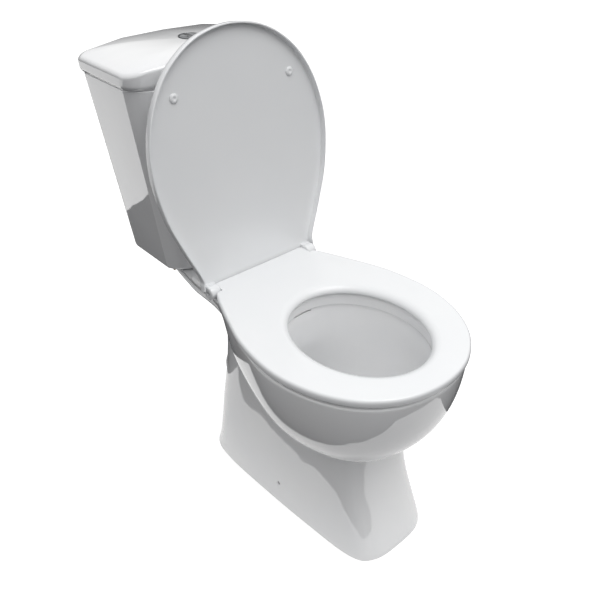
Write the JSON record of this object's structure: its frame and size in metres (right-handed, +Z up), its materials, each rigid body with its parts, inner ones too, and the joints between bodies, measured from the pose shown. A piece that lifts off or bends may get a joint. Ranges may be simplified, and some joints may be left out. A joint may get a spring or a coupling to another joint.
{
  "type": "close coupled toilet",
  "caption": "Close coupled toilet: white china pan with a skirted pedestal, bolted-on cistern with a dual flush button, and a hinged seat and cover.",
  "frame": {"origin": "on the floor, under the middle of the whole toilet's box with the cover standing open", "axes": "+Z up, front towards -Y, +X to the right of a person facing the front"},
  "size_m": [0.3718, 0.702, 0.8321],
  "materials": {
    "china": "high gloss white glaze",
    "seat_plastic": "glossy white moulded plastic",
    "pad_plastic": "soft white moulded pads",
    "valve_plastic": "natural white moulded plastic",
    "blue_plastic": "blue moulded plastic",
    "chrome": "chromed",
    "steel": "stainless",
    "brass": "plain brass",
    "rubber": "black rubber"
  },
  "bodies": {
    "toilet": {"pan": "china", "cistern_tank": "china", "cistern_lid": "china", "button_bezel": "chrome", "flush_valve_body": "valve_plastic", "flush_valve_nut": "valve_plastic", "coupling_washer": "rubber", "cistern_bolt_right": "brass", "cistern_bolt_left": "brass", "cistern_bolt_washer_right": "rubber", "cistern_bolt_washer_left": "rubber", "cistern_bolt_plate_right": "steel", "cistern_bolt_plate_left": "steel", "cistern_wing_nut_right": "brass", "cistern_wing_nut_left": "brass", "fill_valve_body": "valve_plastic", "fill_valve_cap": "blue_plastic", "fill_valve_nut": "valve_plastic", "hinge_post_right": "steel", "hinge_post_left": "steel", "hinge_pin_right": "steel", "hinge_pin_left": "steel", "hinge_sleeve_right": "rubber", "hinge_sleeve_left": "rubber", "floor_bracket_right": "steel", "floor_bracket_left": "steel", "floor_bracket_screw_right": "steel", "floor_bracket_screw_left": "steel"},
    "seat_ring": {"seat": "seat_plastic", "seat_pad_rear_right": "pad_plastic", "seat_pad_rear_left": "pad_plastic", "seat_pad_front_right": "pad_plastic", "seat_pad_front_left": "pad_plastic"},
    "cover": {"seat_cover": "seat_plastic", "cover_pad_right": "pad_plastic", "cover_pad_left": "pad_plastic"},
    "full_button": {"full_flush_button": "chrome"},
    "half_button": {"half_flush_button": "chrome"},
    "valve_lift": {"valve_lift_tube": "blue_plastic", "valve_seal": "rubber"},
    "float": {"fill_valve_float": "blue_plastic"}
  },
  "joints": [
    {"name": "cover_hinge", "type": "hinge", "parent": "toilet", "child": "cover", "pos_m": [0, 0.074, 0.41], "axis": [1, 0, 0], "range_deg": [0, 100]},
    {"name": "seat_hinge", "type": "hinge", "parent": "toilet", "child": "seat_ring", "pos_m": [0, 0.074, 0.41], "axis": [-1, 0, 0], "range_deg": [0, 100]},
    {"name": "full_flush_press", "type": "slide", "parent": "toilet", "child": "full_button", "axis": [0, 0, -1], "range_m": [0, 0.01], "stiffness_N_per_m": 250, "springref_m": -0.006},
    {"name": "half_flush_press", "type": "slide", "parent": "toilet", "child": "half_button", "axis": [0, 0, -1], "range_m": [0, 0.01], "stiffness_N_per_m": 250, "springref_m": -0.006},
    {"name": "valve_lift_slide", "type": "slide", "parent": "toilet", "child": "valve_lift", "axis": [0, 0, 1], "range_m": [0, 0.015]},
    {"name": "float_slide", "type": "slide", "parent": "toilet", "child": "float", "axis": [0, 0, 1], "range_m": [0, 0.035]}
  ],
  "couplings": [
    {"joint": "valve_lift_slide", "follows": "full_flush_press", "ratio": 1.5}
  ]
}
